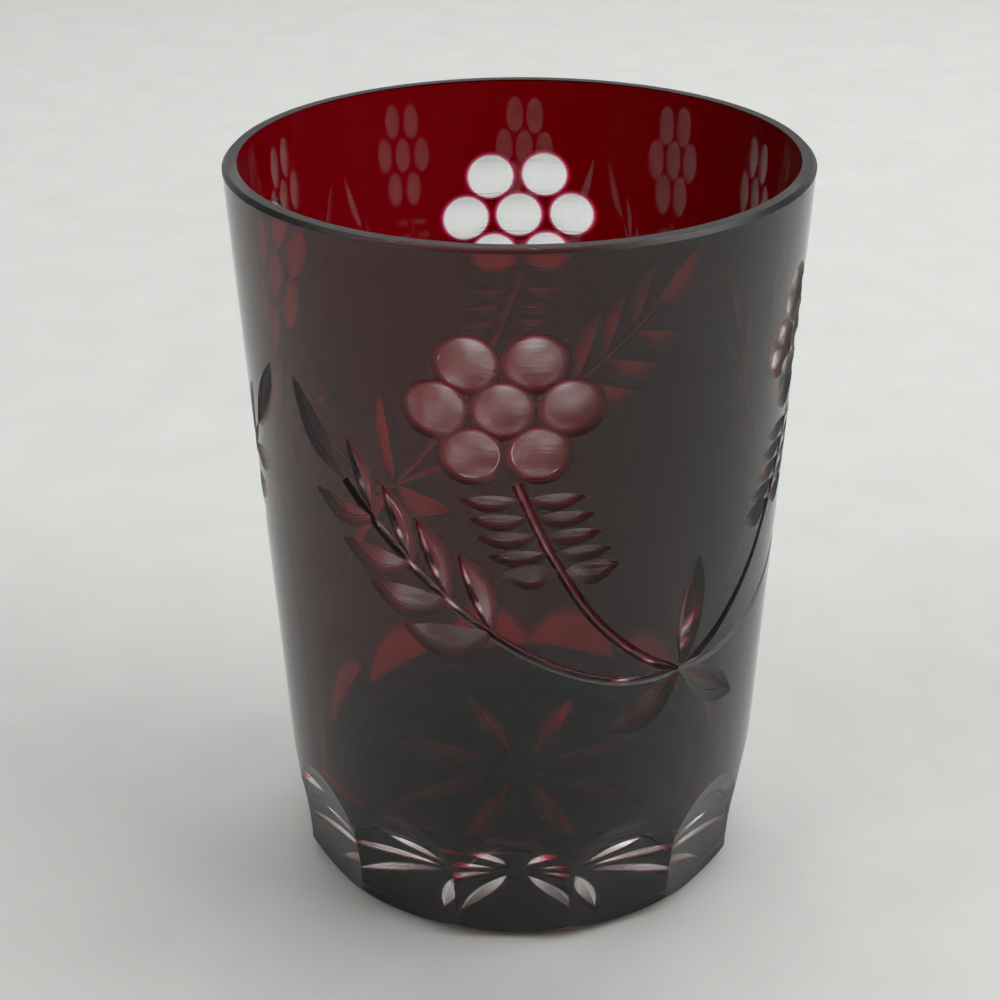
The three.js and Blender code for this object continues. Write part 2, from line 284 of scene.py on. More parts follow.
# Steps round the foot's rounding, over the hollow, round the bore's corner and between two points of a stem
FOOT_STEPS, HOLLOW_STEPS, BORE_STEPS, STEM_STEPS = 16, 16, 18, 12
# Degrees and height that count alike when a stem's curve is spaced
STEM_SPACING = (30, 0.03)
# Size of a stem groove at its end, where the wheel lifts out, and how many steps it would take to gain 1
STEM_END, STEM_END_STEPS = 0.4, 8
# The flute wheel's face, round and up the wall, and the height of its block
FLUTE_FACE, FLUTE_BLOCK = (0.022, 0.038), 0.012
# Ruby is ground or fused where the tools left these materials
RUBY_SURFACES = (("ground", "ground_glass"), ("fused", "fused_seam"))
# Lamps: name, place, and the setting that holds the power
LAMPS = (
    ("right_window", (0.85, -0.15, 0.8), "right_power"),
    ("left_window", (-0.8, -0.35, 0.75), "left_power"),
    ("skylight", (0.1, 0.5, 0.85), "sky_power"),
)
LAMP_SIZE = (0.9, 0.7)
# Brightness of the room by the height of a unit direction: 0 is the horizon, 1 straight up
ROOM_PALE_TO, ROOM_LEVELS = 0.2, ((0.36, 0.03), (0.64, 0.03), (0.8, 0.24))
SHEET_SIZE = 12
# Sideways and upward shift of the lens that frames the glass as the photograph does
LENS_SHIFT = (-0.02025, 0.00657)
# Bounces of light, many because it crosses up to six layers of glass
BOUNCES, GLOSSY_BOUNCES = 32, 12
# Spread of the roughness that the wheels leave
WHEEL_UNEVENNESS = 0.1
# Edges that bend less than this are shaded smooth
SMOOTH_BELOW = radians(8)


def only(piece):
    """Selects one object and makes it active."""
    bpy.ops.object.select_all(action="DESELECT")
    piece.select_set(True)
    bpy.context.view_layer.objects.active = piece


def wall_slope(form):
    """Growth of the wall's radius with height."""
    return (form.rim_radius - form.table_radius) / form.height


def wall_radius(form, z):
    """Outside radius of the wall at a height."""
    return form.table_radius + wall_slope(form) * z


def wall_frame(form, azimuth, z):
    """Point on the wall, east along the rim, north up the wall, out from the glass, and the wall's bend."""
    a, lean = radians(azimuth), atan(wall_slope(form))
    radius = wall_radius(form, z)
    point = Vector((radius * sin(a), -radius * cos(a), z))
    east = Vector((cos(a), sin(a), 0))
    north = Vector((sin(lean) * sin(a), -sin(lean) * cos(a), cos(lean)))
    out = Vector((cos(lean) * sin(a), -cos(lean) * cos(a), -sin(lean)))
    return point, east, north, out, 1 / radius


def step_on_wall(form, azimuth, z, rise, distance):
    """Azimuth and height a distance along a direction over the wall."""
    up = distance * sin(radians(rise))
    turned = degrees(distance * cos(radians(rise)) / wall_radius(form, z + up / 2))
    return azimuth + turned, z + up * cos(atan(wall_slope(form)))


def foot_point(form, inset, angle):
    """Point of the foot's rounding at an angle from straight down, moved inwards."""
    centre = form.table_radius + wall_slope(form) * form.foot_round
    centre -= form.foot_round / cos(atan(wall_slope(form)))
    radius = form.foot_round - inset
    return centre + radius * sin(angle), form.foot_round - radius * cos(angle)


def foot_arc(form, inset, start, end, steps=FOOT_STEPS):
    """Points of the foot's rounding between two angles."""
    return [foot_point(form, inset, start + (end - start) * i / steps) for i in range(steps + 1)]


def hollow_height(form, radius):
    """Height of the hollow underside at a distance from the axis."""
    return form.hollow_depth * (1 - (radius / form.hollow_radius) ** 2)


def hollow_outline(form, lift=0.0):
    """Points over the hollow underside from near the axis outwards, raised by a lift."""
    radii = [form.hollow_radius * i / HOLLOW_STEPS for i in range(1, HOLLOW_STEPS + 1)]
    return [(radius, hollow_height(form, radius) + lift) for radius in radii]


def turned_solid(name, profile, facets):
    """A solid drawn out ring by ring from a disc, as on a lathe; profile is (radius, height) upwards."""
    bpy.ops.object.select_all(action="DESELECT")
    radius, z = profile[0]
    bpy.ops.mesh.primitive_circle_add(vertices=facets, radius=radius, fill_type="NGON", location=(0, 0, z))
    piece = bpy.context.object
    piece.name = piece.data.name = name
    bpy.ops.object.transform_apply(location=True)
    bpy.ops.object.mode_set(mode="EDIT")
    bpy.ops.mesh.select_all(action="SELECT")
    for (r0, z0), (r1, z1) in zip(profile, profile[1:]):
        bpy.ops.mesh.extrude_region_move(TRANSFORM_OT_translate={"value": (0, 0, z1 - z0)})
        bpy.ops.transform.resize(value=(r1 / r0, r1 / r0, 1), center_override=(0, 0, z1))
    bpy.ops.mesh.select_all(action="SELECT")
    bpy.ops.mesh.normals_make_consistent(inside=False)
    bpy.ops.object.mode_set(mode="OBJECT")
    return piece


def glass_blank(form, polished, ground):
    """The whole glass before cutting: foot, wall, bore and a rim that is ground flat and bevelled."""
    bore_top = form.rim_radius - form.rim_wall
    corner_height = form.floor + form.bore_corner
    bore_bottom = wall_radius(form, corner_height) - form.lower_wall
    bevel_foot = form.height - form.bevel_height
    profile = hollow_outline(form) + foot_arc(form, 0, 0, pi / 2 - atan(wall_slope(form)))
    profile.append((wall_radius(form, bevel_foot), bevel_foot))
    profile.append((form.rim_radius - form.bevel_width, form.height))
    profile.append((bore_top, form.height))
    for i in range(BORE_STEPS + 1):
        a = pi / 2 * i / BORE_STEPS
        radius = bore_bottom - form.bore_corner * (1 - cos(a))
        profile.append((radius, corner_height - form.bore_corner * sin(a)))
    blank = turned_solid("glass_blank", profile, form.facets)
    blank.data.materials.append(polished)
    blank.data.materials.append(ground)
    for face in blank.data.polygons:
        face.material_index = int(face.center.z > bevel_foot)
    return blank


def core(form, inset):
    """Solid that fills everything inside the casing, and everything below the casing's foot."""
    lean = atan(wall_slope(form))
    arc = foot_arc(form, inset, form.casing_foot, pi / 2 - lean, steps=4)
    outside = foot_point(form, -REACH, form.casing_foot)
    top = form.height + REACH
    profile = [(outside[0], -REACH), outside, *arc, (wall_radius(form, top) - inset / cos(lean), top)]
    inside = turned_solid("core", profile, form.facets)
    inside.data.transform(Matrix.Translation((-form.casing_drift, 0, 0)))
    return inside


def base_puck(form, play):
    """Solid that fills the ruby layer under the base and everything below it."""
    end = form.base_foot + play / form.foot_round
    inset = form.casing + play
    outside = foot_point(form, -REACH, end)
    under = hollow_outline(form, inset) + foot_arc(form, inset, 0, end)
    return turned_solid("puck", [(outside[0], -REACH), outside, *reversed(under)], form.facets)


def cut(piece, tool, operation="DIFFERENCE"):
    """One Boolean of a tool on a piece; the tool is used up."""
    only(piece)
    modifier = piece.modifiers.new("Cut", "BOOLEAN")
    modifier.operation = operation
    modifier.solver = "MANIFOLD"
    modifier.material_mode = "TRANSFER"
    modifier.object = tool
    bpy.ops.object.modifier_apply(modifier="Cut")
    if not piece.data.polygons:
        raise RuntimeError(f"{tool.name} left nothing of {piece.name}")
    bpy.data.meshes.remove(tool.data)


def together(tools):
    """Tools that do not touch each other, joined to cut at one stroke."""
    bpy.ops.object.select_all(action="DESELECT")
    for tool in tools:
        tool.select_set(True)
    bpy.context.view_layer.objects.active = tools[0]
    bpy.ops.object.join()
    return tools[0]


def set_down(wheel, name, matrix):
    """A copy of a wheel with its own mesh, moved into place."""
    mesh = wheel.data.copy()
    mesh.transform(matrix)
    tool = bpy.data.objects.new(name, mesh)
    bpy.context.scene.collection.objects.link(tool)
    return tool


def mitre_wheel(material, spread=radians(52), facets=104, inner=0.6):
    """The part of a unit wheel with a V edge that meets the glass, axle along Z, edge towards -Y."""
    bpy.ops.object.select_all(action="DESELECT")
    bpy.ops.mesh.primitive_circle_add(vertices=3, radius=1, fill_type="NGON")
    wheel = bpy.context.object
    wheel.data.materials.append(material)
    corners = ((1, 0), (inner, 1 - inner), (inner, inner - 1))
    for vertex, (radius, up) in zip(wheel.data.vertices, corners):
        vertex.co = (-radius * sin(spread), -radius * cos(spread), up)
    bpy.ops.object.mode_set(mode="EDIT")
    bpy.ops.mesh.select_all(action="SELECT")
    bpy.ops.mesh.spin(steps=facets, angle=-2 * spread, center=(0, 0, 0), axis=(0, 0, 1))
    bpy.ops.mesh.select_all(action="SELECT")
    bpy.ops.mesh.normals_make_consistent(inside=False)
    bpy.ops.object.mode_set(mode="OBJECT")
    return wheel


def printy_wheel(material, cap=0.62):
    """The part of a unit ball that meets the glass, its pole towards -Z, to scale to a round cut's curves."""
    bpy.ops.object.select_all(action="DESELECT")
    bpy.ops.mesh.primitive_ico_sphere_add(subdivisions=6, radius=1)
    wheel = bpy.context.object
    wheel.data.materials.append(material)
    bpy.ops.object.mode_set(mode="EDIT")
    bpy.ops.mesh.select_all(action="SELECT")
    bpy.ops.mesh.bisect(plane_co=(0, 0, -cap), plane_no=(0, 0, 1), use_fill=True, clear_outer=True)
    bpy.ops.mesh.select_all(action="SELECT")
    bpy.ops.mesh.normals_make_consistent(inside=False)
    bpy.ops.object.mode_set(mode="OBJECT")
    return wheel


def flute_wheel(pattern, material):
    """Block whose under side is the flute wheel's face, in the wall's own axes, lowest at the origin."""
    across, up = FLUTE_FACE
    bpy.ops.object.select_all(action="DESELECT")
    bpy.ops.mesh.primitive_grid_add(x_subdivisions=44, y_subdivisions=76, size=1)
    wheel = bpy.context.object
    wheel.data.materials.append(material)
    for vertex in wheel.data.vertices:
        x, y = vertex.co.x * across, vertex.co.y * up
        lift = pattern.flute_wheel - sqrt(pattern.flute_wheel**2 - y * y)
        lift += pattern.flute_crown - sqrt(pattern.flute_crown**2 - x * x)
        vertex.co = (x, y, lift)
    bpy.ops.object.mode_set(mode="EDIT")
    bpy.ops.mesh.select_all(action="SELECT")
    bpy.ops.mesh.extrude_region_move(TRANSFORM_OT_translate={"value": (0, 0, FLUTE_BLOCK)})
    bpy.ops.transform.resize(value=(1, 1, 0), center_override=(0, 0, FLUTE_BLOCK))
    bpy.ops.mesh.select_all(action="SELECT")
    bpy.ops.mesh.normals_make_consistent(inside=False)
    bpy.ops.object.mode_set(mode="OBJECT")
    return wheel


def mitre_cut(wheel, place, rise, length, width, shallow, steep, side):
    """Sets a V wheel down over a leaf. side 1 lays the wide face to the right of the leaf's direction."""
    point, east, north, out, bend = place
    tilt = radians(steep - shallow) / 2
    half_angle = radians(180 - steep - shallow) / 2
    depth = width / (cos(tilt) * (1 / tan(radians(steep)) + 1 / tan(radians(shallow))))
    radius = 1 / (8 * depth * cos(tilt) / length**2 - bend * cos(radians(rise)) ** 2)
    along = east * cos(radians(rise)) + north * sin(radians(rise))
    lift = out * cos(tilt) + along.cross(out) * (side * sin(tilt))
    turn = Matrix((along, lift, along.cross(lift))).transposed().to_4x4()
    centre = Matrix.Translation(point + lift * (radius - depth))
    size = Matrix.Diagonal((radius, radius, radius * tan(half_angle), 1))
    return set_down(wheel, "leaf_wheel", centre @ turn @ size)


def leaf(form, wheel, azimuth, z, rise, length, width, shallow, steep, side):
    """A leaf from its root along a direction; lengths in metres, heights too."""
    middle = step_on_wall(form, azimuth, z, rise, length / 2)
    return mitre_cut(wheel, wall_frame(form, *middle), rise, length, width, shallow, steep, side)


def blend(a, b, start, end, t):
    """Point between two points, reached at t on the way from start to end."""
    return tuple(((end - t) * x + (t - start) * y) / (end - start) for x, y in zip(a, b))


def stem_points(points, azimuth, hand):
    """Azimuths and heights along a smooth stem line through its points, a centripetal Catmull-Rom curve."""
    line = [(azimuth + hand * offset, z * MM) for offset, z in points]
    before = tuple(2 * a - b for a, b in zip(line[0], line[1]))
    after = tuple(2 * a - b for a, b in zip(line[-1], line[-2]))
    line = [before, *line, after]
    turn, climb = STEM_SPACING
    made = []
    for p0, p1, p2, p3 in zip(line, line[1:], line[2:], line[3:]):
        knots = [0.0]
        for a, b in ((p0, p1), (p1, p2), (p2, p3)):
            knots.append(knots[-1] + sqrt(hypot((b[0] - a[0]) / turn, (b[1] - a[1]) / climb)))
        t0, t1, t2, t3 = knots
        for i in range(STEM_STEPS):
            t = t1 + (t2 - t1) * i / STEM_STEPS
            a1, a2, a3 = blend(p0, p1, t0, t1, t), blend(p1, p2, t1, t2, t), blend(p2, p3, t2, t3, t)
            b1, b2 = blend(a1, a2, t0, t2, t), blend(a2, a3, t1, t3, t)
            made.append(blend(b1, b2, t1, t2, t))
    made.append(line[-2])
    return made


def stem_profile(pattern):
    """V with a blunt edge, the shape of the stem wheel, as a curve to sweep along a stem."""
    half, deep = pattern.stem_width / 2, pattern.stem_depth
    side = ((0.15, -0.94), (1, 0), (2, 1))
    shape = ((0, -1), *side, *((-x, y) for x, y in reversed(side)))
    bpy.ops.object.select_all(action="DESELECT")
    bpy.ops.curve.primitive_nurbs_path_add()
    profile = bpy.context.object
    curve = profile.data
    curve.splines.clear()
    spline = curve.splines.new("POLY")
    spline.points.add(len(shape) - 1)
    for point, (x, y) in zip(spline.points, shape):
        point.co = (y * deep, x * half, 0, 1)
    spline.use_cyclic_u = True
    curve.dimensions = "2D"
    curve.fill_mode = "NONE"
    return profile


def stem_groove(form, line, profile, material):
    """Groove along a stem line: the wheel's edge swept along it, lifting out at its end, and made a mesh."""
    bpy.ops.object.select_all(action="DESELECT")
    bpy.ops.curve.primitive_nurbs_path_add()
    tool = bpy.context.object
    curve = tool.data
    curve.splines.clear()
    spline = curve.splines.new("POLY")
    spline.points.add(len(line) - 1)
    for i, (point, (azimuth, z)) in enumerate(zip(spline.points, line)):
        point.co = (*wall_frame(form, azimuth, z)[0], 1)
        point.radius = min(1, STEM_END + (len(line) - 1 - i) / STEM_END_STEPS)
    curve.dimensions = "3D"
    curve.twist_mode = "Z_UP"
    curve.bevel_mode = "OBJECT"
    curve.bevel_object = profile
    curve.use_fill_caps = True
    bpy.ops.object.convert(target="MESH")
    bpy.ops.object.mode_set(mode="EDIT")
    bpy.ops.mesh.select_all(action="SELECT")
    bpy.ops.mesh.remove_doubles(threshold=1e-6)
    bpy.ops.mesh.normals_make_consistent(inside=False)
    bpy.ops.object.mode_set(mode="OBJECT")
    tool.data.materials.clear()
    tool.data.materials.append(material)
    return tool


def back_from_tip(form, line, distance):
    """Place on a stem line a distance back from its tip."""
    gone = 0.0
    for after, before in zip(reversed(line), reversed(line[:-1])):
        gone += (wall_frame(form, *after)[0] - wall_frame(form, *before)[0]).length
        if gone >= distance:
            return before
    return line[0]


def mirrored(rise, hand):
    """A direction, or its mirror image for the left hand."""
    return 180 - rise if hand < 0 else rise


def flower(form, pattern, wheel, azimuth, lean):
    """Seven printies: one in the middle and six round it."""
    places = [(0, 0)]
    for across in (-1, 1):
        places.append((across * pattern.printy_spacing, 0))
        places += [(across * pattern.printy_spacing / 2, row * pattern.printy_row) for row in (-1, 1)]
    radius = 0.006
    across, up = sqrt(pattern.printy_wheel * radius), sqrt(pattern.printy_crown * radius)
    size = Matrix.Diagonal((across, up, radius, 1))
    tools = []
    for x, y in places:
        rise = lean + degrees(atan2(y, x))
        spot = step_on_wall(form, azimuth, pattern.flower_height, rise, hypot(x, y))
        point, east, north, out, _ = wall_frame(form, *spot)
        turn = Matrix((east, north, out)).transposed().to_4x4()
        centre = Matrix.Translation(point + out * (radius - pattern.printy_depth))
        tools.append(set_down(wheel, "printy", centre @ turn @ size))
    return tools


def fern(form, wheel, line, lean):
    """Leaf pairs on both sides of a fern stem."""
    tools = []
    for height, length, width in FERN_PAIRS:
        azimuth = next(a for a, z in line if z >= height * MM)
        root = (azimuth, height * MM)
        for way, side in ((lean, 1), (180 + lean, -1)):
            tools.append(leaf(form, wheel, *root, way, length * MM, width * MM, FERN_FACE, STEEP_FACE, side))
    return tools


def branch(form, wheel, line, hand):
    """End leaf and leaf pairs along a branch stem."""
    length, width, rise = END_LEAF
    faces = (END_LEAF_FACE, STEEP_FACE)
    tools = [leaf(form, wheel, *line[-1], mirrored(rise, hand), length * MM, width * MM, *faces, hand)]
    for back, outer, inner in BRANCH_PAIRS:
        root = back_from_tip(form, line, back * MM)
        for (length, width, rise), side in ((outer, hand), (inner, -hand)):
            way = mirrored(rise, hand)
            tools.append(leaf(form, wheel, *root, way, length * MM, width * MM, LEAF_FACE, STEEP_FACE, side))
    return tools


def spray(form, pattern, wheels, azimuth, lean, stray):
    """Bud, stems, flowers, ferns and branches of one spray."""
    mitre, printy, profile, ground = wheels
    tools, root = [], (azimuth, pattern.junction_height)
    for length, width, rise, *faces, side in BUD_LEAVES:
        tools.append(leaf(form, mitre, *root, rise, length * MM, width * MM, *faces, side))
    for hand in (-1, 1):
        to_fern, to_branch = stem_points(FERN_STEM, azimuth, hand), stem_points(BRANCH_STEM, azimuth, hand)
        # Run from left to right, so that the V opens outwards: a right-hand stem ends at its tip, a left-hand
        # one at the junction
        tools += [stem_groove(form, sorted(line), profile, ground) for line in (to_fern, to_branch)]
        offset = degrees(pattern.flower_offset) - (stray if hand < 0 else 0)
        tools += flower(form, pattern, printy, azimuth + hand * offset, lean)
        tools += fern(form, mitre, to_fern, lean)
        tools += branch(form, mitre, to_branch, hand)
    return tools


def flutes(form, pattern, wheel):
    """Hollow flutes round the foot."""
    tools = []
    for i in range(FLUTES):
        azimuth = degrees(pattern.flute_azimuth) + 360 / FLUTES * i
        point, east, north, out, _ = wall_frame(form, azimuth, pattern.flute_height)
        turn = Matrix((east, north, out)).transposed().to_4x4()
        tools.append(set_down(wheel, "flute", Matrix.Translation(point - out * pattern.flute_depth) @ turn))
    return tools


def star(form, pattern, wheel):
    """Rays cut into the hollow underside."""
    length = pattern.star_outer - pattern.star_inner
    middle = pattern.star_inner + length / 2
    curve = 2 * form.hollow_depth / form.hollow_radius**2
    slope = atan(curve * middle)
    tools = []
    for i in range(STAR_RAYS):
        a = radians(360 / STAR_RAYS * (i + 0.5))
        outward, sideways = Vector((sin(a), -cos(a), 0)), Vector((-cos(a), -sin(a), 0))
        point = outward * middle + Vector((0, 0, hollow_height(form, middle)))
        along = outward * cos(slope) - Vector((0, 0, sin(slope)))
        place = (point, along, sideways, along.cross(sideways), -curve)
        tools.append(mitre_cut(wheel, place, 0, length, pattern.star_width, STAR_FACE, STAR_FACE, 1))
    return tools


def new_material(name):
    """A material with its nodes, links and shader."""
    material = bpy.data.materials.new(name)
    material.use_nodes = True
    nodes = material.node_tree.nodes
    return material, nodes, material.node_tree.links, nodes["Principled BSDF"]


def set_node(node, values):
    """Sets a node's sockets by name."""
    for socket, value in values.items():
        node.inputs[socket].default_value = value
    return node


def new_node(nodes, kind, values=None, operation=None):
    """A new node with its sockets, and for a Math node its operation, set."""
    node = nodes.new("ShaderNode" + kind)
    if operation is not None:
        node.operation = operation
    return set_node(node, values or {})


def new_group(name, inputs, outputs):
    """An empty shader node group with named float sockets, and its two end nodes."""
    group = bpy.data.node_groups.new(name, "ShaderNodeTree")
    new_socket = group.interface.new_socket
    for socket, value in inputs.items():
        new_socket(socket, in_out="INPUT", socket_type="NodeSocketFloat").default_value = value
    for socket in outputs:
        new_socket(socket, in_out="OUTPUT", socket_type="NodeSocketFloat")
    return group, group.nodes.new("NodeGroupInput"), group.nodes.new("NodeGroupOutput")


def placed_group(nodes, group, values):
    """A shared group placed in a material with its own values."""
    node = nodes.new("ShaderNodeGroup")
    node.node_tree = group
    return set_node(node, values)


def wheel_marks_group():
    """Fine lines that a stone wheel leaves round the glass, as a height and a roughness."""
    if "Wheel marks" in bpy.data.node_groups:
        return bpy.data.node_groups["Wheel marks"]
    inputs = {"Roughness": 0.4, "Unevenness": WHEEL_UNEVENNESS}
    group, source, result = new_group("Wheel marks", inputs, ("Height", "Roughness"))
    nodes, link = group.nodes, group.links.new
    place = new_node(nodes, "TexCoord")
    stretch = new_node(nodes, "Mapping", {"Scale": (90, 90, 2700)})
    lines = new_node(nodes, "TexNoise", {"Scale": 1, "Detail": 3})
    patches = new_node(nodes, "TexNoise", {"Scale": 400, "Detail": 2})
    uneven = new_node(nodes, "Math", operation="MULTIPLY_ADD")
    link(place.outputs["Object"], stretch.inputs["Vector"])
    link(stretch.outputs["Vector"], lines.inputs["Vector"])
    link(place.outputs["Object"], patches.inputs["Vector"])
    link(lines.outputs["Fac"], result.inputs["Height"])
    link(patches.outputs["Fac"], uneven.inputs[0])
    link(source.outputs["Unevenness"], uneven.inputs[1])
    link(source.outputs["Roughness"], uneven.inputs[2])
    link(uneven.outputs["Value"], result.inputs["Roughness"])
    return group


def wear_group():
    """Years of use on polished glass: hair scratches, a faint film and dust, as a roughness and a haze."""
    if "Fine wear" in bpy.data.node_groups:
        return bpy.data.node_groups["Fine wear"]
    group, source, result = new_group("Fine wear", {"Haze": 0.1}, ("Roughness", "Haze"))
    nodes, link = group.nodes, group.links.new
    place = new_node(nodes, "TexCoord")
    film = new_node(nodes, "TexNoise", {"Scale": 55, "Detail": 4})
    specks = new_node(nodes, "TexNoise", {"Scale": 2600, "Detail": 1})
    rough = new_node(nodes, "MapRange", {"From Min": 0.35, "From Max": 0.75, "To Min": 0, "To Max": 0.05})
    dust = new_node(nodes, "MapRange", {"From Min": 0.66, "From Max": 0.76, "To Min": 0.85, "To Max": 5})
    both = new_node(nodes, "Math", operation="MULTIPLY")
    haze = new_node(nodes, "Math", operation="MULTIPLY")
    for texture in (film, specks):
        link(place.outputs["Object"], texture.inputs["Vector"])
    link(film.outputs["Fac"], rough.inputs["Value"])
    link(specks.outputs["Fac"], dust.inputs["Value"])
    link(film.outputs["Fac"], both.inputs[0])
    link(dust.outputs["Result"], both.inputs[1])
    link(both.outputs["Value"], haze.inputs[0])
    link(source.outputs["Haze"], haze.inputs[1])
    link(rough.outputs["Result"], result.inputs["Roughness"])
    link(haze.outputs["Value"], result.inputs["Haze"])
    return group


def polished_glass(look):
    """Clear glass of the bore and the flutes."""
    material, nodes, links, shader = new_material("polished_glass")
    set_node(shader, {"Base Color": (*look.crystal, 1), "IOR": look.bend, "Transmission Weight": 1})
    set_node(shader, {"Coat Roughness": look.haze_roughness})
    wear = placed_group(nodes, wear_group(), {"Haze": look.haze})
    links.new(wear.outputs["Roughness"], shader.inputs["Roughness"])
    links.new(wear.outputs["Haze"], shader.inputs["Coat Weight"])
    return material


def placed_wheel_marks(nodes, look):
    """The wheel marks and their bump, placed in a material. Unevenness adds half of itself on average."""
    level = look.ground_roughness - WHEEL_UNEVENNESS / 2
    marks = placed_group(nodes, wheel_marks_group(), {"Roughness": level})
    return marks, new_node(nodes, "Bump", {"Distance": look.streak_height})


def ground_glass(look):
    """Grey surface that the wheels leave on the clear glass."""
    material, nodes, links, shader = new_material("ground_glass")
    set_node(shader, {"Base Color": (*look.ground, 1), "IOR": look.bend, "Transmission Weight": 1})
    marks, bump = placed_wheel_marks(nodes, look)
    links.new(marks.outputs["Height"], bump.inputs["Height"])
    links.new(marks.outputs["Roughness"], shader.inputs["Roughness"])
    links.new(bump.outputs["Normal"], shader.inputs["Normal"])
    return material


def fused_seam():
    """Where the two glasses are fused nothing shows: light passes unbent."""
    material, nodes, links, shader = new_material("fused_seam")
    clear = new_node(nodes, "BsdfTransparent")
    links.new(clear.outputs["BSDF"], nodes["Material Output"].inputs["Surface"])
    nodes.remove(shader)
    return material


def ruby_glass(look):
    """Ruby that colours light by its depth. The face attributes ground and fused tell its surfaces apart."""
    material, nodes, links, shader = new_material("cased_ruby")
    set_node(shader, {"Base Color": (1, 1, 1, 1), "IOR": look.bend, "Transmission Weight": 1})
    set_node(shader, {"Coat Roughness": look.haze_roughness})
    ground, fused = new_node(nodes, "Attribute"), new_node(nodes, "Attribute")
    ground.attribute_name, fused.attribute_name = "ground", "fused"
    wear = placed_group(nodes, wear_group(), {"Haze": look.haze})
    marks, bump = placed_wheel_marks(nodes, look)
    rough, film = new_node(nodes, "Mix"), new_node(nodes, "Mix", {"B": 0})
    for mix in (rough, film):
        links.new(ground.outputs["Fac"], mix.inputs["Factor"])
    links.new(wear.outputs["Roughness"], rough.inputs["A"])
    links.new(marks.outputs["Roughness"], rough.inputs["B"])
    links.new(wear.outputs["Haze"], film.inputs["A"])
    cut_lines = new_node(nodes, "Math", operation="MULTIPLY")
    links.new(ground.outputs["Fac"], cut_lines.inputs[0])
    links.new(marks.outputs["Height"], cut_lines.inputs[1])
    links.new(cut_lines.outputs["Value"], bump.inputs["Height"])
    links.new(bump.outputs["Normal"], shader.inputs["Normal"])
    links.new(rough.outputs["Result"], shader.inputs["Roughness"])
    links.new(film.outputs["Result"], shader.inputs["Coat Weight"])
    solid = new_node(nodes, "Math", {0: 1}, "SUBTRACT")
    links.new(fused.outputs["Fac"], solid.inputs[1])
    links.new(solid.outputs["Value"], shader.inputs["Alpha"])
    depth = new_node(nodes, "VolumeAbsorption", {"Color": (*look.ruby, 1), "Density": look.ruby_strength})
    links.new(depth.outputs["Volume"], nodes["Material Output"].inputs["Volume"])
    return material


def finished(piece, node):
    """Smooths a piece, seats it on the part and hides the imported node that it stands for."""
    only(piece)
    bpy.ops.object.shade_smooth_by_angle(angle=SMOOTH_BELOW)
    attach(piece, "root")
    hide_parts(node)


class TUMBLER_OT_cut_blank(bpy.types.Operator):
    """Turn the whole glass and make every cut in it"""

    bl_idname = "tumbler.cut_blank"
    bl_label = "Cut the Blank"

    def execute(self, context):
        scene = context.scene
        form, pattern, look = scene.tumbler_form, scene.tumbler_pattern, scene.tumbler_glass
        polished, ground = polished_glass(look), ground_glass(look)
        blank = glass_blank(form, polished, ground)
        mitre, printy, flute = mitre_wheel(ground), printy_wheel(ground), flute_wheel(pattern, polished)
        profile = stem_profile(pattern)
        # Neighbouring flutes overlap, so every other one is cut at a stroke and the last alone
        round_foot = flutes(form, pattern, flute)
        tools = [together(round_foot[:-1:2]), together(round_foot[1::2]), round_foot[-1]]
        tools += star(form, pattern, mitre)
        sprays = [spray(form, pattern, (mitre, printy, profile, ground), *place) for place in SPRAYS]
        tools += [together(like) for like in zip(*sprays)]
        for tool in tools:
            cut(blank, tool)
        for wheel in (mitre, printy, flute):
            bpy.data.meshes.remove(wheel.data)
        bpy.data.curves.remove(profile.data)
        return {"FINISHED"}


def copy_of_blank(name):
    """The cut blank once more, to take one piece of the glass out of it."""
    only(bpy.data.objects["glass_blank"])
    bpy.ops.object.duplicate()
    piece = bpy.context.object
    piece.name = piece.data.name = name
    return piece


def fused(tool):
    """Gives a tool the material of the seam, for the faces that it leaves."""
    tool.data.materials.append(bpy.data.materials.get("fused_seam") or fused_seam())
    return tool


def made_ruby(piece, ruby):
    """Turns the materials that the tools left into face attributes, and gives the piece its ruby glass."""
    mesh = piece.data
    kinds = [material.name for material in mesh.materials]
    for attribute, name in RUBY_SURFACES:
        values = [float(kinds[face.material_index] == name) for face in mesh.polygons]
        mesh.attributes.new(attribute, "FLOAT", "FACE").data.foreach_set("value", values)
    mesh.polygons.foreach_set("material_index", [0] * len(mesh.polygons))
    mesh.materials.clear()
    mesh.materials.append(ruby)


class TUMBLER_OT_clear_body(bpy.types.Operator):
    """Take the clear glass body out of the cut blank"""

    bl_idname = "tumbler.clear_body"
    bl_label = "Clear Glass Body"

    def execute(self, context):
        form = context.scene.tumbler_form
        body = copy_of_blank("clear_body")
        cut(body, fused(core(form, form.casing + form.seam)), "INTERSECT")
        cut(body, fused(base_puck(form, form.seam)))
        finished(body, "clear_glass_body")
        return {"FINISHED"}


class TUMBLER_OT_ruby_pieces(bpy.types.Operator):
    """Take the ruby base out of the cut blank and leave the ruby casing"""

    bl_idname = "tumbler.ruby_pieces"
    bl_label = "Ruby Glass"

    def execute(self, context):
        form = context.scene.tumbler_form
        base = copy_of_blank("ruby_base")
        cut(base, fused(base_puck(form, 0)), "INTERSECT")
        casing = bpy.data.objects["glass_blank"]
        casing.name = casing.data.name = "ruby_casing"
        cut(casing, fused(core(form, form.casing)))
        ruby = ruby_glass(context.scene.tumbler_glass)
        for piece, node in ((base, "ruby_glass_base"), (casing, "ruby_glass_casing")):
            made_ruby(piece, ruby)
            finished(piece, node)
        return {"FINISHED"}


